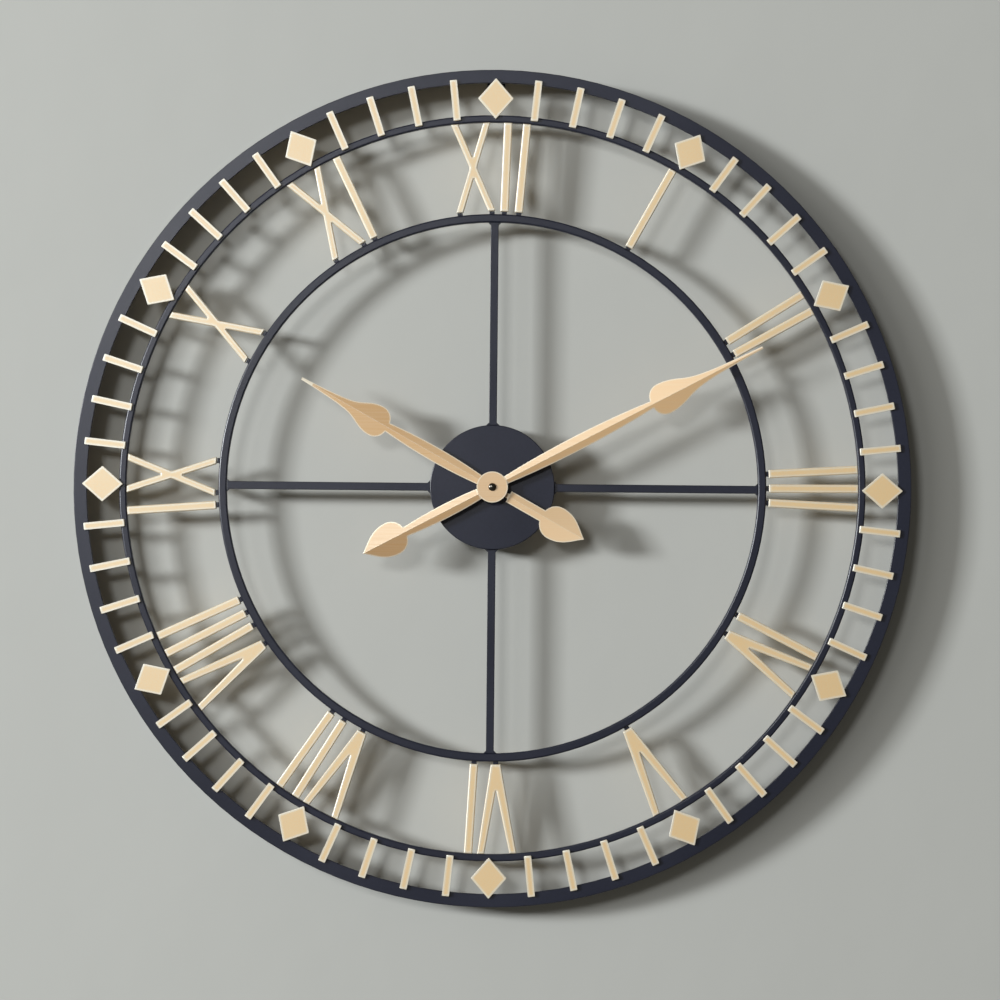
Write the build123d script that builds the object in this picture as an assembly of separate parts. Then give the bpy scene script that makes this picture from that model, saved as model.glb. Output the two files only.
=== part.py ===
from build123d import *
import os
from math import acos, asin, cos, degrees, pi, radians, sin, sqrt, tan

# An open-frame wall clock with Roman numerals. Millimetres.
#
# Every piece is drawn lying on its back: x to the right, y towards 12 o'clock and z the
# height above the wall. place() then stands it up, so that the dial faces -Y, +Z is up and
# the origin is where the nail passes through the hanger. Clock angles run clockwise from 12.

# ---- frame ----
rim_radius = 400.0            # outside of the hoop
rim_depth = 40.0              # wall to the dial plane
rim_wall = 1.5                # rolled strip
face_width = 12.7             # flat ring that closes the front of the strip
face_thickness = 3.0
mark_band = 30.8              # open band between the rim's face and the middle ring
middle_ring_width = 7.0
numeral_band = 87.8           # open band between the middle ring and the inner ring
inner_ring_width = 8.1
ring_thickness = 7.0
spoke_width = 7.5
spoke_thickness = 6.5
weld_flare = 2.5              # how far a weld spreads at the ends of a spoke
hub_radius = 59.5
hub_depth = 26.0
hub_wall = 1.5
hub_proud = 2.0               # hub front above the dial plane
hanger_inset = 22.0           # outside of the hoop to the middle of the nail hole
hanger_hole = 8.0             # diameter
hanger_margin = 4.5           # metal around the nail hole
hanger_thickness = 2.0

# ---- dial ----
numeral_thickness = 5.0
numeral_recess = 0.5          # numerals lie this far under the dial plane
numeral_bevel = 0.7
stem_width = 8.0              # an I
leg_width = 6.8               # each leg of a V or an X
leg_spread = 15.4             # middle of the numeral to the middle of a leg's end
foot_width = 9.5              # apex of a V
crotch_break = 1.4            # how far the inside corners of a V or an X are filled
end_band = 1.0                # corners this close to a stroke's ends stay sharp
stub_length = 2.5             # black stubs between the inner ring and the gold
stub_width = 5.0
stub_thickness = 3.0
mark_thickness = 3.0          # minute bars and hour marks
ring_lap = 4.0                # how far they lie on the middle ring
rim_lap = 4.2                 # how far they lie on the rim's face
minute_bar_width = 6.9
diamond_width = 34.0

# One entry per hour: the strokes read clockwise, and how far the numeral as fitted sits
# past its hour line, in degrees.
numerals = {
    1: ("I", -0.9), 2: ("II", -0.9), 3: ("III", -0.3), 4: ("IV", 0.5),
    5: ("V", 0.3), 6: ("VI", -0.2), 7: ("VII", 0.0), 8: ("VIII", -1.0),
    9: ("IX", 0.0), 10: ("X", 0.2), 11: ("XI", 0.0), 12: ("XII", -0.7),
}
stem_pitch = 3.0              # degrees from an I to the next I
v_pitch = 4.5                 # degrees from a V to an I
x_pitch = 5.9                 # degrees from an X to an I

# ---- hands ----
minute_angle = 62.2           # clock angles at rest, the hands as they were fitted
hour_angle = 299.2
minute_length = 289.5         # hub axis to the tip
minute_root = 5.0             # width of the shaft at the hub axis
minute_belly = 13.6           # width where the shaft is widest
minute_belly_at = 72.0        # hub axis to that place
minute_neck = 171.0           # hub axis to the foot of the spade
minute_neck_width = 7.2
minute_taper = 30.0           # widest place of the spade to where it is half as wide
minute_needle = 56.0          # widest place of the spade to the start of the needle
minute_tail = 138.5           # hub axis to the tip of the counterweight
minute_tail_root = 7.8
minute_tail_belly = 13.4
minute_tail_belly_at = 56.0
minute_tail_neck = 9.4
minute_boss = 14.8            # radius
hour_length = 209.0
hour_root = 6.4
hour_belly = 14.2
hour_belly_at = 62.0
hour_neck = 115.0
hour_neck_width = 9.0
hour_taper = 23.0
hour_needle = 45.0
hour_tail = 100.5
hour_tail_start = 18.0        # where the bar of the hour hand's tail starts
hour_tail_width = 11.6
hour_tail_bridge = 5.0        # width of the flat strip from the boss to that bar
hour_tail_lap = 1.0           # how far the strip runs under the bar
hour_boss = 12.0
spade_width = 30.6
spade_lobe = 12.5             # foot of a spade to its widest place
needle_root = 7.0
needle_tip = 2.5
needle_lean = 0.03            # how much the needle still narrows at its tip, per side
leaf_width = 32.4
leaf_length = 45.5            # counterweight's leaf, foot to point
leaf_lobe = 14.0              # foot of a leaf to its widest place
leaf_point = 35.0             # degrees, half of the angle at the leaf's point
fold_angle = 10.0             # degrees that each side of a hand slopes back
hand_sheet = 1.0
boss_thickness = 2.0
hand_gap = 1.0                # between the hour hand and what passes behind or before it
cap_radius = 3.8
cap_height = 2.6

# ---- movement ----
case_size = 56.0
case_depth = 16.5
case_wall = 1.5
case_corner = 2.5
cover_thickness = 1.5
cover_clearance = 0.1
cell_radius = 7.25            # an AA cell
cell_length = 49.5
cell_nub_radius = 2.75
cell_nub_length = 1.0
cell_clearance = 0.3          # cell to the walls of its bay
contact_gap = 1.2             # room for a contact at each end of the cell
contact_sheet = 0.4
contact_width = 9.0
pad_size = 16.0               # rubber pad between the case and the hub
pad_thickness = 1.0
neck_radius = 4.0             # threaded neck
neck_clearance = 0.1          # neck to the holes that it passes through
flange_thickness = 0.6
flange_radius = 8.0
nut_width = 12.0              # across the flats
nut_thickness = 2.1
neck_proud = 0.8              # neck beyond the nut
tube_radius = 2.55            # outside of the hour tube
arbor_radius = 1.75           # minute arbor
running = 0.05                # radial clearance of everything that turns
end_play = 0.3                # axial clearance of everything that turns
gear_module = 0.625
pinion_teeth = 8              # minute arbor, drives the setting wheel
wheel_teeth = 24
setting_pinion_teeth = 6      # setting arbor, drives the hour wheel
hour_teeth = 24
pressure_angle = 30.0
gear_backlash = 0.12
gear_thickness = 1.2
wheel_gap = 1.2               # between the two large wheels
pivot_radius = 1.0
pivot_length = 0.9            # pivot of the setting wheel in the case's front wall
setting_arbor_radius = 1.6
knob_radius = 6.0
knob_thickness = 2.4
knob_ribs = 8
knob_valley = 5.2             # radius between the ribs
rib_share = 0.6               # of a rib's pitch, the rest is slopes and valley
valley_share = 0.2

# ---- heights above the wall, worked out from the sizes ----
dial = rim_depth
hub_front = dial + hub_proud
hub_back = hub_front - hub_wall
case_front = hub_back - pad_thickness
case_back = case_front - case_depth
flange_front = hub_front + flange_thickness
nut_front = flange_front + nut_thickness
neck_front = nut_front + neck_proud
slope = tan(radians(fold_angle))
sheet_back = hand_sheet / cos(radians(fold_angle))
hour_ridge = neck_front + hand_gap + boss_thickness
minute_ridge = hour_ridge + hand_gap + sheet_back + slope * max(spade_width, leaf_width) / 2
hour_wheel_front = case_front - case_wall - end_play
hour_wheel_back = hour_wheel_front - gear_thickness
wheel_front = hour_wheel_back - wheel_gap
wheel_back = wheel_front - gear_thickness
cover_front = case_back + cover_thickness

# ---- radii that others depend on ----
face_inner = rim_radius - face_width
strip_inner = rim_radius - rim_wall
middle_outer = face_inner - mark_band
middle_inner = middle_outer - middle_ring_width
inner_outer = middle_inner - numeral_band
inner_inner = inner_outer - inner_ring_width
hanger_height = rim_radius - hanger_inset
numeral_foot = inner_outer + stub_length
neck_hole = neck_radius + neck_clearance
tube_bore = arbor_radius + running
gear_distance = gear_module * (pinion_teeth + wheel_teeth) / 2
hour_module = 2 * gear_distance / (setting_pinion_teeth + hour_teeth)
bay_low = -case_size / 2 + case_wall
bay_high = bay_low + 2 * (cell_radius + cell_clearance)


def place(piece):
    """Stand a piece up and put the origin in the hanger's nail hole."""
    return Pos(0, 0, -hanger_height) * Rot(90, 0, 0) * piece


def turned(angle):
    """Turn a piece drawn at 12 o'clock to a clock angle."""
    return Rot(0, 0, -angle)


def disc(radius, back, front):
    """A round plate between two heights."""
    return Pos(0, 0, (back + front) / 2) * Cylinder(radius, front - back)


def slab(outline, back, front, bevel=0.0):
    """A flat outline as a plate between two heights, its front edges broken."""
    plate = Pos(0, 0, back) * extrude(outline, front - back)
    if bevel:
        front_face = plate.faces().sort_by(Axis.Z)[-1]
        plate = chamfer(front_face.edges(), bevel)
    return plate


def blunt_rectangle(width, height, corner):
    """A rectangle with its corners cut off."""
    outline = Rectangle(width, height)
    return chamfer(outline.vertices(), corner)


def hoop(inner, outer, back, front):
    """A ring about the hub axis."""
    return slab(Circle(outer) - Circle(inner), back, front)


# ---- frame ----
def rim_band():
    return hoop(strip_inner, rim_radius, 0, dial - face_thickness)


def rim_face():
    return hoop(face_inner, rim_radius, dial - face_thickness, dial)


def middle_ring():
    return hoop(middle_inner, middle_outer, dial - ring_thickness, dial)


def inner_ring():
    return hoop(inner_inner, inner_outer, dial - ring_thickness, dial)


def spoke():
    """A bar from the hub's wall to the inner ring, flared where it is welded."""
    near, far = hub_radius, inner_inner
    half, wide = spoke_width / 2, spoke_width / 2 + weld_flare
    side = [(wide, near - half), (wide, near), (half, near + weld_flare),
            (half, far - weld_flare), (wide, far), (wide, far + half)]
    other_side = [(-x, y) for x, y in reversed(side)]
    outline = make_face(Polyline(*side, *other_side, close=True))
    outline = outline & (Circle(far) - Circle(near))
    return slab(outline, dial - ring_thickness, dial - ring_thickness + spoke_thickness)


def hub_cup():
    """A dish that is open at the back and hides the movement."""
    back = hub_front - hub_depth
    cup = disc(hub_radius, back, hub_front) - disc(hub_radius - hub_wall, back, hub_back)
    return cup - disc(neck_hole, hub_back, hub_front)


def wall_hanger():
    """A tab inside the rim with the nail hole, flush with the rim's back edge."""
    half = hanger_hole / 2 + hanger_margin
    length = half + hanger_inset
    tab = Pos(0, rim_radius - length / 2) * blunt_rectangle(2 * half, length, hanger_margin)
    tab = tab & Circle(strip_inner)
    tab -= Pos(0, hanger_height) * Circle(hanger_hole / 2)
    return slab(tab, 0, hanger_thickness)


# ---- dial ----
def reach(radius, half_width):
    """How far up y a flat end of this half width goes before it meets a circle."""
    return sqrt(radius ** 2 - half_width ** 2)


def numeral_plate(outline):
    front = dial - numeral_recess
    return slab(outline, front - numeral_thickness, front, numeral_bevel)


def stem():
    """An I."""
    top = reach(middle_inner, stem_width / 2)
    height = top - numeral_foot
    outline = Pos(0, numeral_foot + height / 2) * Rectangle(stem_width, height)
    return numeral_plate(outline)


def leg(foot_x, head_x, foot_width, head_width, top):
    """One slanting stroke with flat ends."""
    foot, head = foot_width / 2, head_width / 2
    return make_face(Polyline(
        (foot_x - foot, numeral_foot), (foot_x + foot, numeral_foot),
        (head_x + head, top), (head_x - head, top), close=True))


def fill_crotches(outline, top):
    """Blunt the inside corners, which are all that lies between foot and head."""
    low, high = numeral_foot + end_band, top - end_band
    inside = [v for v in outline.vertices() if low < v.Y < high]
    return chamfer(inside, crotch_break)


def vee():
    """A V, its apex towards the hub."""
    top = reach(middle_inner, leg_spread + leg_width / 2)
    outline = leg(0, leg_spread, foot_width, leg_width, top)
    outline += leg(0, -leg_spread, foot_width, leg_width, top)
    return numeral_plate(fill_crotches(outline, top))


def ex():
    """An X, both legs of one plate."""
    top = reach(middle_inner, leg_spread + leg_width / 2)
    outline = leg(leg_spread, -leg_spread, leg_width, leg_width, top)
    outline += leg(-leg_spread, leg_spread, leg_width, leg_width, top)
    return numeral_plate(fill_crotches(outline, top))


def pitch(one, other):
    """Degrees from one stroke to the next."""
    pair = one + other
    if "X" in pair:
        return x_pitch
    return v_pitch if "V" in pair else stem_pitch


def half_span(stroke):
    """Degrees from the middle of a stroke to its outer side, at the middle ring."""
    half = stem_width / 2 if stroke == "I" else leg_spread + leg_width / 2
    return degrees(asin(half / middle_inner))


def stroke_angles(hour):
    """Clock angle of each stroke, the whole numeral centred on its own place."""
    strokes, offset = numerals[hour]
    angles = [0.0]
    for one, other in zip(strokes, strokes[1:]):
        angles.append(angles[-1] + pitch(one, other))
    middle = (angles[0] - half_span(strokes[0]) + angles[-1] + half_span(strokes[-1])) / 2
    return [(s, 30 * hour + offset + a - middle) for s, a in zip(strokes, angles)]


def numeral(hour, cut):
    """The strokes of one numeral, each a plate of its own."""
    return Compound([turned(angle) * cut[stroke] for stroke, angle in stroke_angles(hour)])


def stubs():
    """The black stubs that join the feet of the strokes to the inner ring."""
    front = dial - numeral_recess - (numeral_thickness - stub_thickness) / 2
    outline = Pos(0, inner_outer + stub_length / 2) * Rectangle(stub_width, stub_length)
    block = slab(outline, front - stub_thickness, front)
    places = []
    for hour in numerals:
        for stroke, angle in stroke_angles(hour):
            offsets = [-leg_spread, leg_spread] if stroke == "X" else [0]
            places += [angle + degrees(asin(x / numeral_foot)) for x in offsets]
    return Compound([turned(angle) * block for angle in places])


def minute_bar():
    low, high = middle_outer - ring_lap, face_inner + rim_lap
    outline = Pos(0, (low + high) / 2) * Rectangle(minute_bar_width, high - low)
    return slab(outline, dial, dial + mark_thickness)


def minute_bars(first_hour, bar):
    """The twelve bars from one quarter of the dial to the next."""
    minutes = [m for m in range(5 * first_hour, 5 * first_hour + 15) if m % 5]
    return Compound([turned(6 * m) * bar for m in minutes])


def diamond():
    low, high = middle_outer - ring_lap, face_inner + rim_lap
    middle, half = (low + high) / 2, diamond_width / 2
    outline = make_face(Polyline(
        (0, low), (half, middle), (0, high), (-half, middle), close=True))
    return slab(outline, dial, dial + mark_thickness)


# ---- hands ----
def half_blade(root, belly, neck, widest, edges_to_tip):
    """The right half of a shaft with a spade or a leaf at its end, along +y.

    root, belly, neck and widest are points on its outline."""
    shaft = Spline(root, belly, neck)
    lobe = TangentArc(widest, neck, tangent=(0, -1))
    tip_y = (edges_to_tip[-1] @ 1).Y
    start, end = Line((0, root[1]), root), Line((0, tip_y), (0, root[1]))
    return make_face(Curve() + [start, shaft, lobe, *edges_to_tip, end])


def spade_edges(lobe_y, taper, needle, tip_y):
    """From the widest place of a spade to the blunt end of its needle."""
    side = Spline(
        (spade_width / 2, lobe_y), (spade_width / 4, lobe_y + taper),
        (needle_root / 2, lobe_y + needle), (needle_tip / 2, tip_y),
        tangents=[(0, 1), (-needle_lean, 1)])
    return [side, Line((needle_tip / 2, tip_y), (0, tip_y))]


def leaf_edges(lobe_y, tip_y):
    """From the widest place of a leaf to its point."""
    point = radians(leaf_point)
    ends = (leaf_width / 2, lobe_y), (0, tip_y)
    return [Spline(*ends, tangents=[(0, 1), (-sin(point), cos(point))])]


def spade_half(root, belly, belly_at, neck, neck_width, taper, needle, length):
    """Half of a hand's shaft and spade, from the hub axis to the tip."""
    lobe_y = neck + spade_lobe
    return half_blade(
        (root / 2, 0), (belly / 2, belly_at), (neck_width / 2, neck),
        (spade_width / 2, lobe_y), spade_edges(lobe_y, taper, needle, length))


def leaf_half(start, root, belly, belly_at, neck_width, length):
    """Half of a counterweight's shaft and leaf, from its start to its point."""
    neck = length - leaf_length
    lobe_y = neck + leaf_lobe
    return half_blade(
        (root / 2, start), (belly / 2, belly_at), (neck_width / 2, neck),
        (leaf_width / 2, lobe_y), leaf_edges(lobe_y, length))


def folded(half_outline, ridge):
    """A sheet folded along y: its ridge at a height, both sides sloping back."""
    wide, long = spade_width + leaf_width, minute_length + minute_tail
    drop = wide * slope
    section = make_face(Polyline(
        (0, 0, ridge), (wide, 0, ridge - drop), (wide, 0, ridge - drop - sheet_back),
        (0, 0, ridge - sheet_back), close=True))
    wedge = Pos(0, -long, 0) * extrude(section, 2 * long, dir=(0, 1, 0))
    prism = Pos(0, 0, ridge - drop - wide) * extrude(half_outline, drop + 2 * wide)
    side = wedge & prism
    return side + mirror(side, Plane.YZ)


def hand_boss(radius, ridge, bore):
    boss = disc(radius, ridge - boss_thickness, ridge)
    return boss, disc(bore, ridge - 2 * boss_thickness, ridge + boss_thickness)


def minute_hand():
    blade = spade_half(
        minute_root, minute_belly, minute_belly_at, minute_neck, minute_neck_width,
        minute_taper, minute_needle, minute_length)
    tail = leaf_half(
        0, minute_tail_root, minute_tail_belly, minute_tail_belly_at, minute_tail_neck,
        minute_tail)
    boss, bore = hand_boss(minute_boss, minute_ridge, arbor_radius)
    hand = folded(blade, minute_ridge) + Rot(0, 0, 180) * folded(tail, minute_ridge)
    return turned(minute_angle) * (hand + boss - bore)


def hour_hand():
    """Its tail is a bar of its own on a narrow strip behind the boss."""
    blade = spade_half(
        hour_root, hour_belly, hour_belly_at, hour_neck, hour_neck_width,
        hour_taper, hour_needle, hour_length)
    bar_middle = (hour_tail_start + hour_tail - leaf_length) / 2
    tail = leaf_half(
        hour_tail_start, hour_tail_width, hour_tail_width, bar_middle, hour_tail_width,
        hour_tail)
    strip_length = hour_tail_start + hour_tail_lap
    strip = slab(Pos(0, strip_length / 2) * Rectangle(hour_tail_bridge, strip_length),
                 hour_ridge - boss_thickness, hour_ridge - hand_sheet)
    boss, bore = hand_boss(hour_boss, hour_ridge, tube_radius)
    hand = folded(blade, hour_ridge) + Rot(0, 0, 180) * (folded(tail, hour_ridge) + strip)
    return turned(hour_angle) * (hand + boss - bore)


def hand_cap():
    """The round cap that holds the minute hand on its arbor."""
    cap = disc(cap_radius, minute_ridge, minute_ridge + cap_height)
    return cap - disc(arbor_radius, minute_ridge, minute_ridge + cap_height / 2)


# ---- gears ----
def involute(angle):
    return tan(angle) - angle


def gear(teeth, module, first_tooth):
    """A spur gear outline whose flanks span the involute, a tooth in this direction."""
    pitch_radius = teeth * module / 2
    base_radius = pitch_radius * cos(radians(pressure_angle))
    tip_radius = pitch_radius + 0.8 * module
    root_radius = pitch_radius - 1.0 * module
    half_tooth = pi / (2 * teeth) - gear_backlash / (4 * pitch_radius)

    def half_angle(radius):
        here = acos(min(1.0, base_radius / radius))
        return half_tooth + involute(radians(pressure_angle)) - involute(here)

    start = max(base_radius, root_radius)
    flank = [(start, half_angle(start)), (tip_radius, half_angle(tip_radius))]
    if root_radius < start:
        flank.insert(0, (root_radius, flank[0][1]))
    points = []
    for tooth in range(teeth):
        middle = radians(first_tooth + 360 * tooth / teeth)
        points += [(r, middle - a) for r, a in flank]
        points += [(r, middle + a) for r, a in reversed(flank)]
    return make_face(Polyline(*[(r * cos(a), r * sin(a)) for r, a in points], close=True))


def minute_arbor():
    """The shaft of the minute hand with the pinion that drives the setting wheel."""
    shoulder = cover_front + end_play
    pivot = disc(pivot_radius, case_back, shoulder)
    shaft = disc(arbor_radius, shoulder, minute_ridge + cap_height / 2)
    pinion_back, pinion_front = wheel_back - end_play, wheel_front + end_play
    return pivot + shaft + slab(gear(pinion_teeth, gear_module, 90), pinion_back, pinion_front)


def hour_wheel():
    """The wheel of the hour hand and the tube that runs on the minute arbor."""
    space = 90 + 180 / hour_teeth
    wheel = slab(gear(hour_teeth, hour_module, space), hour_wheel_back, hour_wheel_front)
    wheel += disc(tube_radius, hour_wheel_back, hour_ridge)
    return wheel - disc(tube_bore, hour_wheel_back, hour_ridge)


def setting_wheel():
    """The wheel and pinion between minute arbor and hour wheel, set by hand at the back."""
    space = 270 + 180 / wheel_teeth
    wheel = slab(gear(wheel_teeth, gear_module, space), wheel_back, wheel_front)
    pinion_front = hour_wheel_front + end_play / 2
    wheel += slab(gear(setting_pinion_teeth, hour_module, 270), wheel_front, pinion_front)
    wheel += disc(pivot_radius, pinion_front, pinion_front + pivot_length)
    wheel += disc(setting_arbor_radius, case_back - end_play - knob_thickness, wheel_back)
    return Pos(0, gear_distance, 0) * wheel


def setting_knob():
    """A ribbed knob on the back end of the setting arbor."""
    front = case_back - end_play
    crest, valley = rib_share / 2, valley_share / 2
    corners = [(-crest, knob_radius), (crest, knob_radius),
               (0.5 - valley, knob_valley), (0.5 + valley, knob_valley)]
    points = []
    for rib in range(knob_ribs):
        for share, radius in corners:
            angle = 2 * pi * (rib + share) / knob_ribs
            points.append((radius * cos(angle), radius * sin(angle)))
    outline = make_face(Polyline(*points, close=True)) - Circle(setting_arbor_radius)
    return Pos(0, gear_distance, 0) * slab(outline, front - knob_thickness, front)


# ---- movement ----
def chamber_outline(inset):
    """The gear chamber above the cell's bay."""
    low, high = bay_high + case_wall + inset, case_size / 2 - case_wall - inset
    width = case_size - 2 * case_wall - 2 * inset
    return Pos(0, (low + high) / 2) * Rectangle(width, high - low)


def movement_case():
    """A moulded box, open at the back, with the threaded neck and the cell's bay."""
    case = slab(blunt_rectangle(case_size, case_size, case_corner), case_back, case_front)
    floor = case_front - case_wall
    case -= slab(chamber_outline(0), case_back, floor)
    bay = Pos(0, (bay_low + bay_high) / 2) * Rectangle(
        cell_length + cell_nub_length + 2 * contact_gap, bay_high - bay_low)
    case -= slab(bay, case_back, case_back + 2 * (cell_radius + cell_clearance))
    case += disc(neck_radius, case_front, neck_front)
    case -= disc(tube_radius + running, floor, neck_front)
    pocket = disc(pivot_radius + running, floor, floor + pivot_length)
    return case - Pos(0, gear_distance, 0) * pocket


def movement_cover():
    """The plate that closes the gear chamber, with a bearing hole for each arbor."""
    cover = slab(chamber_outline(cover_clearance), case_back, cover_front)
    cover -= disc(pivot_radius + running, case_back, cover_front)
    hole = disc(setting_arbor_radius + running, case_back, cover_front)
    return cover - Pos(0, gear_distance, 0) * hole


def lying(piece, start_x):
    """A round piece drawn along z, laid along x in the cell's bay."""
    centre_y = (bay_low + bay_high) / 2
    centre_z = case_back + cell_radius + cell_clearance
    return Pos(start_x, centre_y, centre_z) * Rot(0, 90, 0) * piece


def cell():
    """An AA cell, its nub to the right as seen from the front."""
    start = -(cell_length + cell_nub_length) / 2
    body = disc(cell_radius, 0, cell_length)
    nub = disc(cell_nub_radius, cell_length, cell_length + cell_nub_length)
    return lying(body + nub, start)


def contact(side):
    """A strip against the end of the bay with a pad that presses on the cell."""
    start = side * (cell_length + cell_nub_length) / 2
    strip = Pos(0, 0, contact_gap - contact_sheet / 2) * Box(
        contact_width, contact_width, contact_sheet)
    pad = Pos(0, 0, contact_gap / 2) * Box(
        cell_nub_radius, 2 * cell_nub_radius, contact_gap)
    piece = strip + pad
    return lying(piece if side > 0 else Rot(0, 180, 0) * piece, start)


def rubber_pad():
    return slab(Rectangle(pad_size, pad_size) - Circle(neck_hole), case_front, hub_back)


def flange_nut():
    """The hexagonal nut on the neck, with its washer in one piece."""
    nut = slab(RegularPolygon(nut_width / 2, 6, major_radius=False), flange_front, nut_front)
    nut += disc(flange_radius, hub_front, flange_front)
    return nut - disc(neck_radius, hub_front, nut_front)


def frame_pieces():
    pieces = {
        "rim_band": rim_band(), "rim_face": rim_face(),
        "middle_ring": middle_ring(), "inner_ring": inner_ring(),
        "hub_cup": hub_cup(), "wall_hanger": wall_hanger(), "numeral_stubs": stubs(),
    }
    bar = spoke()
    for hour in (12, 3, 6, 9):
        pieces[f"spoke_{hour:02d}"] = turned(30 * hour) * bar
    return pieces


def dial_pieces():
    pieces = {}
    cut = {"I": stem(), "V": vee(), "X": ex()}
    mark, bar = diamond(), minute_bar()
    for hour in numerals:
        pieces[f"numeral_{hour:02d}"] = numeral(hour, cut)
        pieces[f"hour_mark_{hour:02d}"] = turned(30 * hour) * mark
    for quarter in range(4):
        pieces[f"minute_bars_{quarter + 1}"] = minute_bars(3 * quarter, bar)
    return pieces


def moving_pieces():
    return {
        "minute_hand": minute_hand(), "hand_cap": hand_cap(), "minute_arbor": minute_arbor(),
        "hour_hand": hour_hand(), "hour_wheel": hour_wheel(),
        "setting_wheel": setting_wheel(), "setting_knob": setting_knob(),
    }


def movement_pieces():
    return {
        "movement_case": movement_case(), "movement_cover": movement_cover(),
        "cell": cell(), "contact_plus": contact(1), "contact_minus": contact(-1),
        "rubber_pad": rubber_pad(), "flange_nut": flange_nut(),
    }


os.makedirs("parts", exist_ok=True)
for group in (frame_pieces(), dial_pieces(), moving_pieces(), movement_pieces()):
    for name, piece in group.items():
        export_step(place(piece), f"parts/{name}.step")
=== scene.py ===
# %% [markdown]
# A skeleton wall clock
#
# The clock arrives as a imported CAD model: rings, numerals, hands and a geared movement, each a
# piece of its own. The lesson gives those pieces what CAD leaves out: rounded edges, painted and
# turned finishes, a wall to hang on and the light of a room with one window.

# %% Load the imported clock
from math import cos, pi, radians, sin

import bmesh
import bpy
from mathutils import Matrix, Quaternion, Vector


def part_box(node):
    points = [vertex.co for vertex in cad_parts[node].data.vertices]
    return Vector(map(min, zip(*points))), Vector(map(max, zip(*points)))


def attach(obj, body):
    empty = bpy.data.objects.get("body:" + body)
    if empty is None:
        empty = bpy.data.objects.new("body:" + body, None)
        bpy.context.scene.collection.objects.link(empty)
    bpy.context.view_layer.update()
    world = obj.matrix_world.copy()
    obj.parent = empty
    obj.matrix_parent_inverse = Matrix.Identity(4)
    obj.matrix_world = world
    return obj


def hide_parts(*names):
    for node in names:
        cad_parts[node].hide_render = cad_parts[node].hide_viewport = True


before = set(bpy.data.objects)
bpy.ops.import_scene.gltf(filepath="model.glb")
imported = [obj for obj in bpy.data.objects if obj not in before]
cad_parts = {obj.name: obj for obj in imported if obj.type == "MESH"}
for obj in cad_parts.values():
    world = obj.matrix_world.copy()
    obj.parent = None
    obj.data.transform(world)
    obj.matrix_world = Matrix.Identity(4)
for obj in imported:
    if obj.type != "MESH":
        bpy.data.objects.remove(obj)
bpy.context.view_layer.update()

# %% [markdown]
# Where things are
#
# Every place is read from the pieces themselves, so the lesson still fits when the clock's sizes
# change. The dial faces -Y, +Z is up, and the wall is the plane that the hoop's back edge touches.

# %% Measure the clock
def middle(node):
    low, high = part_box(node)
    return (low + high) / 2


def reach(node):
    """Half of a round piece's width."""
    low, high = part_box(node)
    return (high.x - low.x) / 2


hub = middle("rim_band")
rim_radius = reach("rim_band")
wall_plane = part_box("rim_band")[1].y
dial_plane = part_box("rim_face")[0].y
hub.y = dial_plane
print("hub axis:", tuple(round(v, 4) for v in hub), "rim radius:", round(rim_radius, 4))

# %% [markdown]
# The camera
#
# It stands three metres away, almost square on and a little lower than the hub, with a long lens.
# A long lens keeps the far side of a deep hoop hidden behind its face, as the eye sees it from
# across a room. The clock hangs half a degree out of true, so the camera is rolled by as much.

# %% Place the camera
view_azimuth, view_elevation = radians(0.3), radians(-1.5)
view_distance = 3.0
view_roll = radians(0.54)
rim_share = 0.4190                # the rim's radius as a share of the view's width
aim_right, aim_down = 0.0074, 0.0120      # metres from the hub to the middle of the view

back = Vector((sin(view_azimuth) * cos(view_elevation),
               -cos(view_azimuth) * cos(view_elevation),
               sin(view_elevation)))
camera = bpy.data.objects.new("camera", bpy.data.cameras.new("camera"))
bpy.context.scene.collection.objects.link(camera)
bpy.context.scene.camera = camera
camera.location = hub + back * view_distance
aim = hub + Vector((aim_right, 0, -aim_down))
look = (aim - camera.location).to_track_quat("-Z", "Y")
camera.rotation_mode = "QUATERNION"
camera.rotation_quaternion = look @ Quaternion((0, 0, 1), view_roll)
camera.data.lens = camera.data.sensor_width * rim_share * view_distance / rim_radius
print("lens:", round(camera.data.lens, 1), "mm")

# %% [markdown]
# Shader maths that reads as maths
#
# A shader is a graph of nodes, and a line of arithmetic can need five of them. The class below
# wraps one output socket and overloads the operators, so that `1 - mask` adds the Math node by
# itself. The reflected forms, such as __rsub__, serve a number on the left.

# %% Wrap a socket
class Wire:
    """An output socket. Arithmetic on it adds Math nodes to its graph."""

    def __init__(self, graph, socket):
        self.graph, self.socket = graph, socket

    def maths(self, operation, *values):
        node = self.graph.node("ShaderNodeMath", {"operation": operation}, dict(enumerate(values)))
        return node["Value"]

    def __add__(self, other):
        return self.maths("ADD", self, other)

    def __radd__(self, other):
        return self.maths("ADD", other, self)

    def __sub__(self, other):
        return self.maths("SUBTRACT", self, other)

    def __rsub__(self, other):
        return self.maths("SUBTRACT", other, self)

    def __mul__(self, other):
        return self.maths("MULTIPLY", self, other)

    def __rmul__(self, other):
        return self.maths("MULTIPLY", other, self)

    def __truediv__(self, other):
        return self.maths("DIVIDE", self, other)

    def __rtruediv__(self, other):
        return self.maths("DIVIDE", other, self)

    def at_most(self, limit):
        return self.maths("MINIMUM", self, limit)

    def at_least(self, limit):
        return self.maths("MAXIMUM", self, limit)

    def above(self, level):
        return self.maths("GREATER_THAN", self, level)

# %% [markdown]
# One method adds nodes
#
# Materials, the world and a Geometry Nodes modifier are all node trees, so one class serves all
# three. Its one method makes a node of any type, sets the node's settings first, because they
# decide which sockets there are, and then fills or links its sockets. A colour ramp's bands are
# the one setting that isn't a plain value.

# %% Wrap a node tree
class Placed:
    """A node in a graph; indexing it gives an output as a Wire."""

    def __init__(self, graph, node):
        self.graph, self.inner = graph, node

    def __getitem__(self, name):
        return Wire(self.graph, self.inner.outputs[name])


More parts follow.
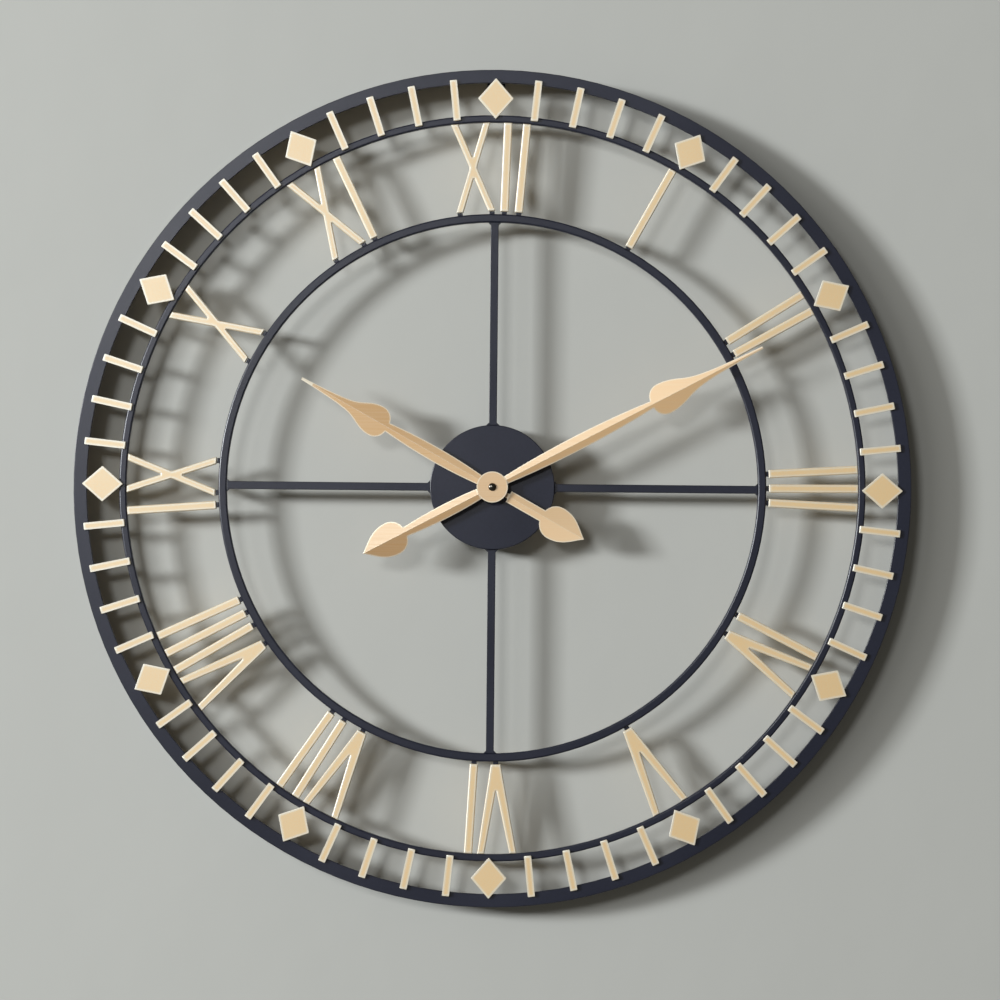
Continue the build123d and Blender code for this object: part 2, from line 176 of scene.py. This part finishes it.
class Graph:
    """A node tree under construction: a material's, the world's or a modifier's."""

    def __init__(self, tree):
        self.tree = tree
        tree.nodes.clear()

    def node(self, kind, settings=None, sockets=None):
        node = self.tree.nodes.new(kind)
        for name, value in (settings or {}).items():
            if name == "bands":
                self.set_bands(node.color_ramp, value)
            else:
                setattr(node, name, value)
        for name, value in (sockets or {}).items():
            if isinstance(value, Wire):
                self.tree.links.new(value.socket, node.inputs[name])
            else:
                node.inputs[name].default_value = value
        return Placed(self, node)

    def set_bands(self, ramp, bands):
        """Plain bands of colour, each from its position to the next."""
        ramp.interpolation = "CONSTANT"
        while len(ramp.elements) < len(bands):
            ramp.elements.new(0.5)
        for element, (position, colour) in zip(ramp.elements, bands):
            element.position, element.color = position, colour

    def blend(self, share, first, second):
        """A colour between two colours."""
        sockets = {"Factor": share, 6: first, 7: second}
        return self.node("ShaderNodeMix", {"data_type": "RGBA"}, sockets)[2]

# %% [markdown]
# What every finish needs
#
# A real finish is never even: it drifts over a hand's width, it has a grain, its edges differ
# from its flats, and its surface has a relief of a few hundredths of a millimetre. The class
# below gives each of those in a line. The edges come from the Bevel node, which gives the normal
# of a rounded edge: where that differs from the true normal, there is an edge.

# %% Wrap a material
edge_gain = 14.0                  # so that a slight rounding already counts as an edge


class Finish(Graph):
    """A material under construction."""

    def __init__(self, name):
        self.material = bpy.data.materials.new(name)
        self.material.use_nodes = True
        super().__init__(self.material.node_tree)

    def place(self):
        """Where a point is on the clock, in metres; it moves with the piece."""
        return self.node("ShaderNodeTexCoord")["Object"]

    def noise(self, scale, detail=2.0, place=None):
        sockets = {"Vector": place or self.place(), "Scale": scale, "Detail": detail}
        return self.node("ShaderNodeTexNoise", None, sockets)["Fac"]

    def edges(self, width):
        """From 0 on a flat to 1 on a square edge, over a width in metres."""
        rounded = self.node("ShaderNodeBevel", {"samples": 6}, {"Radius": width})["Normal"]
        flat = self.node("ShaderNodeNewGeometry")["Normal"]
        agreement = self.node(
            "ShaderNodeVectorMath", {"operation": "DOT_PRODUCT"}, {0: rounded, 1: flat})["Value"]
        return ((1 - agreement) * edge_gain).at_most(1.0)

    def relief(self, height, depth):
        """A normal from a height between 0 and 1 that stands for a depth in metres."""
        sockets = {"Height": height, "Distance": depth, "Strength": 1.0}
        return self.node("ShaderNodeBump", None, sockets)["Normal"]

    def shader(self, **sockets):
        """A Principled shader. Socket names use _ for a space."""
        named = {name.replace("_", " "): value for name, value in sockets.items()}
        return self.node("ShaderNodeBsdfPrincipled", None, named)["BSDF"]

    def mixed(self, share, first, second):
        return self.node("ShaderNodeMixShader", None, {0: share, 1: first, 2: second})["Shader"]

    def close(self, shader):
        """Send a shader to the output and hand back the finished material."""
        self.node("ShaderNodeOutputMaterial", None, {"Surface": shader})
        print("finish:", self.material.name, "nodes:", len(self.tree.nodes))
        return self.material

# %% [markdown]
# Colours as they look
#
# A paint chart gives a colour by its screen values. Shaders work in linear light, where twice the
# number is twice the light, so each colour is converted once, where it is named.

# %% Name colours by their screen values
def paint(red, green, blue):
    """A colour by its screen values, 0 to 255, as the linear values that shaders work in."""
    def linear(value):
        share = value / 255
        return share / 12.92 if share <= 0.04045 else ((share + 0.055) / 1.055) ** 2.4
    return (linear(red), linear(green), linear(blue), 1)


def darker(colour, share):
    return tuple(share * value for value in colour[:3]) + (1,)


print("a screen grey of 188 is this share of white's light:", round(paint(188, 188, 188)[0], 3))

# %% [markdown]
# Black powder coat
#
# The frame is welded steel under powder coat, baked to a soft satin. Up close it has the fine
# dimples of orange peel, and where the gun passed unevenly the sheen changes a little from place
# to place. Along the edges the colour is darkened towards black, a painted shade for the dark that
# rounded edges take, and there it is made a little glossier. The dimples could be modelled, but
# they are finer than any mesh of this size, so they are a bump. Noise at two sizes drives the
# dimples and the sheen, and a mask of the edges does the rest.

# %% Mix the powder coat
def powder_coat(name, deep, light, sheen):
    finish = Finish(name)
    drift = finish.noise(9.0)
    peel = finish.noise(900.0, detail=1.0)
    speck = finish.noise(420.0, detail=3.0)
    painted_edge_shade = finish.edges(0.0016)
    body = finish.blend(0.5 * drift + 0.5 * speck, deep, light)
    return finish.close(finish.shader(
        # painted shade: the colour is darkened towards near black along the edges
        Base_Color=finish.blend(0.85 * painted_edge_shade, body, paint(14, 15, 20)),
        Roughness=sheen + 0.14 * drift - 0.05 * painted_edge_shade,
        Specular_IOR_Level=0.6,
        Normal=finish.relief(peel, 0.00006)))


frame_black = powder_coat("frame_black", paint(18, 21, 32), paint(35, 39, 57), 0.27)

# %% [markdown]
# Champagne gold
#
# The numerals and marks are sprayed with a gold lacquer that carries pale metal flakes. The
# lacquer scatters and looks tan from any side, and the flakes mirror and look cream where they
# catch the window. A metallic colour alone gives the cream but goes dark away from the window,
# and a plain colour gives only the tan. So two shaders are mixed, a tan one and a pale metallic
# one, and a fine noise sets how many flakes a spot holds. A pale line is painted round each piece
# as a highlight along its edges.

# %% Mix the gold of the dial
line_start, line_contrast = 0.14, 5.0     # where the painted edge highlight starts, and how sharply
highlight_limit = 0.9                           # the painted highlight goes at most this far towards the pale colour
most_shade = 0.14                         # how much darker the unevenness makes a spot


def champagne(name, tan, flakes, flake_share, sheen, grain, edge, highlit_tip=None):
    """tan gives the lacquer's colour, grain is a noise from 0 to 1 that says how many flakes lie
    at a spot, edge is the width of the painted edge highlight in metres, and highlit_tip gives
    a mask of a painted highlight at a hand's tip."""
    finish = Finish(name)
    drift = finish.noise(14.0)
    grains = grain(finish)
    # Painted highlight: a pale line along the edges, and a hand's tip where given, are lightened
    # for the light they catch.
    edge_wear_and_highlight = line_contrast * (finish.edges(edge) - line_start)
    painted_highlight = edge_wear_and_highlight.at_least(highlit_tip(finish) if highlit_tip else 0.0).at_most(highlight_limit)
    bumps = finish.relief(grains, 0.00002)
    shade = most_shade - 0.5 * most_shade * (drift + grains)
    body = finish.blend(shade, tan(finish), paint(0, 0, 0))
    lacquer = finish.shader(
        Base_Color=finish.blend(painted_highlight, body, paint(255, 248, 226)),
        Roughness=sheen + 0.10 * drift,
        Specular_IOR_Level=0.5,
        Normal=bumps)
    mirror = finish.shader(
        Base_Color=finish.blend(drift, darker(flakes, 0.9), flakes),
        Metallic=1.0,
        Roughness=sheen - 0.05 * painted_highlight,
        Normal=bumps)
    amount = flake_share * (0.5 + grains) + 0.1 * painted_highlight
    return finish.close(finish.mixed(amount, lacquer, mirror))


def spray_grain(finish):
    return finish.noise(700.0, detail=3.0)


def even(colour):
    return lambda finish: colour


dial_gold = champagne(
    "dial_gold", even(paint(255, 210, 133)), paint(220, 229, 228), 0.34, 0.48, spray_grain,
    0.0040)

# %% [markdown]
# The hands are the same gold on sheet that was brushed lengthwise first, so its grain is a set of
# hairlines along each hand. The noise is squeezed across the hand and drawn out along it. The
# hands take more of the window than the dial, because brushing lays the metal open. Each hand's
# colour darkens towards one end, a painted shade for how the window falls along it: the hour hand
# towards its spade, and the minute hand towards its leaf.

# %% Mix the gold of the hands
def direction_of(node):
    """The angle of a hand in the plane of the dial, from its pivot to its far end."""
    offset = middle(node) - hub
    return Vector((offset.x, offset.z)).angle_signed(Vector((1, 0)))


def hairlines_along(angle):
    """A grain drawn out along a direction in the plane of the dial, in radians from +X."""
    def grain(finish):
        turned = finish.node("ShaderNodeMapping", {"vector_type": "POINT"}, {
            "Vector": finish.place(), "Rotation": (0, angle, 0), "Scale": (12.0, 200.0, 1500.0)})
        return finish.noise(1.0, place=turned["Vector"])
    return grain


def along_hand(finish, node):
    """How far a spot lies from the pivot towards the tip of the spade, in metres."""
    angle = direction_of(node)
    along = Vector((cos(angle), 0, sin(angle)))
    sockets = {0: finish.place(), 1: along}
    here = finish.node("ShaderNodeVectorMath", {"operation": "DOT_PRODUCT"}, sockets)["Value"]
    return here - hub.dot(along)


def painted_tip_highlight(node, highlit_tip):
    """A mask for a painted highlight over the last highlit_tip metres of a hand, up to the farthest
    corner of its box.
    """
    low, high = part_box(node)
    corners = [Vector((x, hub.y, z)) for x in (low.x, high.x) for z in (low.z, high.z)]
    length = max((corner - hub).length for corner in corners)
    return lambda finish: highlight_limit * along_hand(finish, node).above(length - highlit_tip)


def shaded_along_hand(node, at_leaf, at_spade, run):
    """A painted shade: a colour that changes from the leaf to the spade, over run metres each way.
    """
    return lambda finish: finish.blend(
        0.5 + along_hand(finish, node) / (2 * run), at_leaf, at_spade)


hand_flakes = paint(240, 230, 208)
minute_gold = champagne(
    "minute_gold", shaded_along_hand("minute_hand", paint(204, 152, 88), paint(254, 205, 142), 0.16),
    hand_flakes, 0.38, 0.44, hairlines_along(direction_of("minute_hand")), 0.0022)
# the hour hand gets a painted highlight over its last 13 millimetres
hour_gold = champagne(
    "hour_gold", shaded_along_hand("hour_hand", paint(255, 214, 160), paint(211, 156, 80), 0.11),
    hand_flakes, 0.34, 0.50, hairlines_along(direction_of("hour_hand")), 0.0022,
    painted_tip_highlight("hour_hand", 0.013))

# %% [markdown]
# The cap in the middle of the minute hand is a tiny dome of blackened nickel. It is the one
# polished thing on the dial, so it carries a small bright image of the window on its left, and
# its right mirrors the dark of the room.

# %% Mix the blackened nickel of the cap
def black_nickel(name, colour):
    finish = Finish(name)
    haze = finish.noise(1200.0, detail=1.0)
    return finish.close(finish.shader(
        Base_Color=finish.blend(haze, darker(colour, 0.7), colour),
        Metallic=1.0,
        Roughness=0.20 + 0.08 * haze,
        Normal=finish.relief(haze, 0.000004)))


cap_black = black_nickel("cap_black", paint(104, 100, 92))

# %% [markdown]
# Moulded plastic and rubber
#
# Behind the hub sit a moulded case, toothed wheels, a knob and a rubber pad. A moulding copies the
# even, leathery grain of the tool that was eroded by sparks, its colour drifts with the flow, and
# its corners are rubbed smooth. One recipe with another colour, sheen and depth of grain serves
# all four, because they differ in nothing else that the eye can tell.

# %% Mix the plastics and the rubber
def moulded(name, colour, sheen, grain=0.00004):
    finish = Finish(name)
    leather = finish.noise(1400.0, detail=1.0)
    flow = finish.noise(30.0)
    worn = finish.edges(0.0005)
    body = finish.blend(flow, darker(colour, 0.82), colour)
    edge_wear_and_highlight = tuple(min(1.0, 1.5 * value + 0.02) for value in colour[:3]) + (1,)
    return finish.close(finish.shader(
        Base_Color=finish.blend(0.5 * worn, body, edge_wear_and_highlight),
        Roughness=sheen + 0.12 * leather - 0.10 * worn,
        Normal=finish.relief(leather, grain)))


case_plastic = moulded("case_plastic", paint(38, 38, 40), 0.45)
knob_plastic = moulded("knob_plastic", paint(52, 52, 54), 0.38)
wheel_plastic = moulded("wheel_plastic", paint(236, 233, 224), 0.32, grain=0.00001)
pad_rubber = moulded("pad_rubber", paint(30, 30, 30), 0.7)

# %% [markdown]
# Turned brass and steel
#
# The flange nut and the arbor come off a lathe, whose tool leaves fine rings about the axis. A
# stretched noise gives straight scratches only, so the rings are a Wave texture in its ring form,
# once the place is shifted so that the hub's axis is its middle.

# %% Mix the turned metals
def lathe_turned(name, colour, sheen, centre):
    """Metal with the rings of a lathe about an axis along Y."""
    finish = Finish(name)
    shifted = finish.node("ShaderNodeMapping", {"vector_type": "POINT"}, {
        "Vector": finish.place(), "Location": -centre})
    rings = finish.node(
        "ShaderNodeTexWave",
        {"wave_type": "RINGS", "rings_direction": "Y"},
        {"Vector": shifted["Vector"], "Scale": 900.0, "Distortion": 0.6})["Fac"]
    return finish.close(finish.shader(
        Base_Color=finish.blend(rings, darker(colour, 0.75), colour),
        Metallic=1.0,
        Roughness=sheen + 0.12 * rings,
        Normal=finish.relief(rings, 0.000008)))


nut_brass = lathe_turned("nut_brass", paint(212, 178, 104), 0.2, hub)
arbor_steel = lathe_turned("arbor_steel", paint(196, 198, 202), 0.2, hub)

# %% [markdown]
# The cell and its contacts
#
# A cell is a steel can in a thin plastic sleeve. The sleeve stops short of the ends, where the
# bare can shows, and one end is banded in copper so that it goes in the right way round. The
# bands could be cut into the mesh, but a colour ramp needs no more than how far along the cell a
# point lies. The contacts are bare spring steel, with a fine rolled grain.

# %% Mix the cell's sleeve and the spring steel
def cell_sleeve(name):
    finish = Finish(name)
    low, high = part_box("cell")
    along = finish.node("ShaderNodeSeparateXYZ", None, {"Vector": finish.place()})["X"]
    share = (along - low.x) / (high.x - low.x)
    steel, charcoal, copper = paint(196, 198, 200), paint(40, 44, 52), paint(178, 108, 62)
    bands = finish.node(
        "ShaderNodeValToRGB",
        {"bands": [(0.0, steel), (0.02, charcoal), (0.70, copper), (0.965, steel)]},
        {"Fac": share})
    scuff = finish.noise(160.0, detail=3.0)
    return finish.close(finish.shader(
        Base_Color=bands["Color"],
        Metallic=0.6,
        Roughness=0.26 + 0.2 * scuff,
        Coat_Weight=0.3,
        Normal=finish.relief(scuff, 0.00001)))


def spring_steel(name):
    finish = Finish(name)
    grain = finish.noise(700.0, detail=3.0)
    return finish.close(finish.shader(
        Base_Color=finish.blend(grain, paint(168, 170, 174), paint(206, 208, 210)),
        Metallic=1.0,
        Roughness=0.22 + 0.2 * grain,
        Normal=finish.relief(grain, 0.000005)))


cell_wrap = cell_sleeve("cell_wrap")
contact_steel = spring_steel("contact_steel")

# %% [markdown]
# Shading by angle
#
# A CAD mesh is made of flat facets. A curved wall should look smooth, and a fold in sheet metal
# should stay a crisp line, even the shallow fold along the middle of each hand. A small Geometry
# Nodes modifier does both without touching the mesh: it smooths every face, and then makes each
# edge crisp again where the two faces meet at more than a limit.

# %% Build the group that shades by angle
def shade_by_angle(limit):
    group = bpy.data.node_groups.new(f"crisp_above_{limit}", "GeometryNodeTree")
    for way in ("INPUT", "OUTPUT"):
        group.interface.new_socket("Geometry", in_out=way, socket_type="NodeSocketGeometry")
    graph = Graph(group)
    shape = graph.node("NodeGroupInput")["Geometry"]
    soft = graph.node(
        "GeometryNodeSetShadeSmooth", {"domain": "FACE"}, {"Geometry": shape, "Shade Smooth": True})
    bend = graph.node("GeometryNodeInputMeshEdgeAngle")["Unsigned Angle"]
    crisp = graph.node("GeometryNodeSetShadeSmooth", {"domain": "EDGE"}, {
        "Geometry": soft["Geometry"], "Selection": bend.above(radians(limit)),
        "Shade Smooth": False})
    graph.node("NodeGroupOutput", None, {"Geometry": crisp["Geometry"]})
    return group


curved, folded = shade_by_angle(30), shade_by_angle(7)
print("shading groups:", curved.name, folded.name)

# %% [markdown]
# Rounded edges
#
# CAD edges are perfectly sharp, and nothing real is. Rounding them in the CAD would multiply its
# faces, so modifiers do it here and the mesh stays as the CAD made it: Weld joins the split
# corners of the imported mesh, Bevel rounds each edge by a fraction of a millimetre, and Weighted
# Normal keeps the flats flat.

# %% Round edges with modifiers
same_corner = 0.000004            # corners nearer than this are one corner, in metres
sharp_edge = 34                   # only edges that bend more than this are rounded, in degrees


def weld_and_shade(piece, shading):
    weld = piece.modifiers.new("weld", "WELD")
    weld.merge_threshold = same_corner
    piece.modifiers.new("shading", "NODES").node_group = shading


def round_edges(piece, width):
    """Round a piece's sharp edges over a width in millimetres."""
    bevel = piece.modifiers.new("bevel", "BEVEL")
    bevel.width = width / 1000
    bevel.segments = 3
    bevel.limit_method = "ANGLE"
    bevel.angle_limit = radians(sharp_edge)
    bevel.harden_normals = True
    flats = piece.modifiers.new("flats", "WEIGHTED_NORMAL")
    flats.keep_sharp = True

# %% [markdown]
# Dressing the CAD pieces
#
# Each piece gets its finish, its shading and a rounding that suits how it is made. The rings and
# spokes are bar with generous corners under thick paint, the cut plates of the dial have lost
# only their burr, and a contact is thin strip with next to none. The finish goes into the slot
# that the piece already has, and one table holds it all, so that a piece left out is noticed.

# %% Give each piece its finish and its edges
def names_with(start):
    return [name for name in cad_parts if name.startswith(start)]


spokes, numerals = names_with("spoke_"), names_with("numeral_0") + names_with("numeral_1")
marks = names_with("hour_mark_") + names_with("minute_bars_")

# piece, finish, shading, width of its rounded edges in millimetres
dressing = [(name, frame_black, curved, 0.5) for name in ("rim_band", "rim_face", "wall_hanger")]
dressing += [(name, frame_black, curved, 1.4) for name in ("middle_ring", "inner_ring", *spokes)]
dressing += [("hub_cup", frame_black, curved, 0.7), ("numeral_stubs", frame_black, curved, 0.3)]
dressing += [(name, dial_gold, curved, 0.35) for name in numerals]
dressing += [(name, dial_gold, curved, 0.6) for name in marks]
dressing += [
    ("minute_hand", minute_gold, folded, 0.25), ("hour_hand", hour_gold, folded, 0.25),
    ("minute_arbor", arbor_steel, curved, 0.0),
    ("hour_wheel", wheel_plastic, curved, 0.0), ("setting_wheel", wheel_plastic, curved, 0.0),
    ("setting_knob", knob_plastic, curved, 0.25), ("movement_case", case_plastic, curved, 0.3),
    ("movement_cover", case_plastic, curved, 0.2), ("cell", cell_wrap, curved, 0.4),
    ("contact_plus", contact_steel, curved, 0.08), ("contact_minus", contact_steel, curved, 0.08),
    ("rubber_pad", pad_rubber, curved, 0.2), ("flange_nut", nut_brass, curved, 0.2),
]
for name, material, shading, width in dressing:
    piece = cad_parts[name]
    for slot in piece.material_slots:
        slot.material = material
    weld_and_shade(piece, shading)
    if width:
        round_edges(piece, width)
print("dressed:", len(dressing), "of", len(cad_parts))

# %% [markdown]
# Turning on the hub's axis
#
# The cap that holds the hands is a turned acorn: a short straight collar and a low dome over it.
# A bevel of the CAD's plain button can't give the dome, and a squashed sphere has no collar, so a
# half profile is drawn as a few points and spun about the hub's axis, as a lathe would.

# %% Draw and spin a profile
def dome_profile(radius, height, collar, steps):
    """(radius, height) points from the middle of the base to the top of the dome."""
    arc = [radians(90) * step / steps for step in range(steps + 1)]
    dome = [(radius * cos(turn), collar + (height - collar) * sin(turn)) for turn in arc]
    return [(0.0, 0.0), (radius, 0.0), *dome]


def spin(name, profile, base, turns=48):
    """Spin a profile about the hub's axis; its heights grow from base towards the room."""
    shape = bmesh.new()
    points = [shape.verts.new((hub.x + radius, base - height, hub.z)) for radius, height in profile]
    lines = [shape.edges.new(pair) for pair in zip(points, points[1:])]
    bmesh.ops.spin(shape, geom=points + lines, cent=hub, axis=(0, 1, 0), angle=2 * pi,
                   steps=turns, use_merge=True)
    bmesh.ops.remove_doubles(shape, verts=shape.verts, dist=0.000001)
    bmesh.ops.recalc_face_normals(shape, faces=shape.faces)
    mesh = bpy.data.meshes.new(name)
    shape.to_mesh(mesh)
    shape.free()
    piece = bpy.data.objects.new(name, mesh)
    bpy.context.scene.collection.objects.link(piece)
    return piece

# %% [markdown]
# The cap that holds the hands
#
# The acorn is as wide and as high as the button, so it fits inside the button's box and takes its
# place. It is screwed to the minute hand's arbor, so it rides on that body and turns with it.

# %% Turn the cap
cap_low, cap_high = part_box("hand_cap")
collar = 0.0004                   # the straight part below the dome, in metres
acorn = spin(
    "acorn_cap", dome_profile(reach("hand_cap"), cap_high.y - cap_low.y, collar, 12), cap_high.y)
acorn.data.materials.append(cap_black)
acorn.modifiers.new("shading", "NODES").node_group = curved
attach(acorn, "minute")
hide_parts("hand_cap")
print("cap faces:", len(acorn.data.polygons))

# %% [markdown]
# Emulsion on plaster
#
# The wall's paint is dead matt, so a Diffuse shader does, with a slow mottle in its tone and a
# bump with the slight waves of a trowel. Seen from behind, the wall lets the eye and the lamps
# through, so that the back of the clock can be looked at too.

# %% Mix the paint of the wall
def wall_paint(name, colour):
    finish = Finish(name)
    mottle = finish.noise(2.2, detail=4.0)
    trowel = finish.noise(7.0, detail=3.0)
    tone = finish.blend(mottle, darker(colour, 0.95), colour)
    plaster = finish.node("ShaderNodeBsdfDiffuse", None, {
        "Color": tone, "Normal": finish.relief(trowel, 0.0012)})["BSDF"]
    clear = finish.node("ShaderNodeBsdfTransparent")["BSDF"]
    behind = finish.node("ShaderNodeNewGeometry")["Backfacing"]
    shadow = finish.node("ShaderNodeLightPath")["Is Shadow Ray"]
    return finish.close(finish.mixed(behind.at_least(shadow), plaster, clear))

# %% [markdown]
# The wall
#
# A clock is seen with its shadow, so the stage is the wall that it hangs on. It is a single
# square face: its relief is in the paint, and its edges lie far outside the front view.

# %% Put up the wall
wall_mesh = bpy.data.meshes.new("wall")
half = 2.3                        # the window would bleach a wider wall
level = wall_plane + 0.0005       # a hair behind the hoop, so the two never flicker
wall_mesh.from_pydata(
    [(-half, level, -half), (half, level, -half), (half, level, half), (-half, level, half)],
    [], [(0, 1, 2, 3)])
wall = bpy.data.objects.new("wall", wall_mesh)
bpy.context.scene.collection.objects.link(wall)
wall_mesh.materials.append(wall_paint("wall_paint", paint(189, 190, 184)))
print("wall faces:", tuple(wall_mesh.polygons[0].normal))

# %% [markdown]
# The light
#
# One bright window stands far to the left and a little above: it draws the long shadows to the
# right. A wide glow about it softens their edges, a lantern nearer the viewer fills them, and the
# rest of the room adds almost nothing, which is why the wall behind the left of the hoop falls
# to near black. Two lamps behind the wall light the clock's back for anyone who walks round it.

# %% Set the lamps
def lamp(name, left, up, distance, width, height, power, colour):
    """A lamp aimed at the clock. left and up are slopes: metres across per metre from the wall."""
    data = bpy.data.lights.new(name, "AREA")
    data.shape, data.size, data.size_y = "RECTANGLE", width, height
    data.energy, data.color = power, colour
    light = bpy.data.objects.new(name, data)
    bpy.context.scene.collection.objects.link(light)
    away = Vector((-left, -1.0 if distance > 0 else 1.0, up)).normalized()
    light.location = hub + away * abs(distance)
    light.rotation_mode = "QUATERNION"
    light.rotation_quaternion = (-away).to_track_quat("-Z", "Y")
    print("lamp:", name, power, "W at", tuple(round(v, 2) for v in light.location))


# name, left, up, distance, width, height, watts, colour
lamp("window", 1.44, 0.265, 8.0, 1.48, 1.05, 580, (0.93, 0.96, 1.0))
lamp("lantern", 0.30, 0.24, 7.0, 1.25, 0.86, 98, (0.97, 0.98, 1.0))
lamp("glow", 1.0, 0.26, 7.0, 4.2, 1.4, 100, (0.97, 0.98, 1.0))
lamp("behind_left", -0.75, 0.56, -2.6, 1.6, 1.6, 18, (1.0, 1.0, 1.0))
lamp("behind_right", 1.0, 0.14, -2.6, 1.6, 1.6, 10, (1.0, 0.98, 0.95))

# %% [markdown]
# The room around
#
# A room is brighter on its window's side. The background is a warm grey that falls off from left
# to right in front of the clock and is dim behind it, and the eye sees it as the wall's own tone,
# so that the end of the wall doesn't draw attention. The view transform is Standard, which shows
# each colour as it was named.

# %% Set the world and the view
world = bpy.data.worlds.new("room")
world.use_nodes = True
bpy.context.scene.world = world
room = Graph(world.node_tree)
direction = room.node("ShaderNodeSeparateXYZ", None, {
    "Vector": room.node("ShaderNodeTexCoord")["Generated"]})
window_side, far_side = (0.20, 0.19, 0.168, 1), (0.056, 0.052, 0.046, 1)
back_room = (0.05, 0.05, 0.05, 1)
front = room.blend(0.5 + 0.5 * direction["X"], window_side, far_side)
walls = room.blend(direction["Y"].above(0), front, back_room)
seen = room.node("ShaderNodeLightPath")["Is Camera Ray"]
tone = room.blend(seen, walls, paint(188, 190, 186))
glow = room.node("ShaderNodeBackground", None, {"Color": tone, "Strength": 1.0})
room.node("ShaderNodeOutputWorld", None, {"Surface": glow["Background"]})
bpy.context.scene.view_settings.view_transform = "Standard"
print("room nodes:", len(room.tree.nodes))
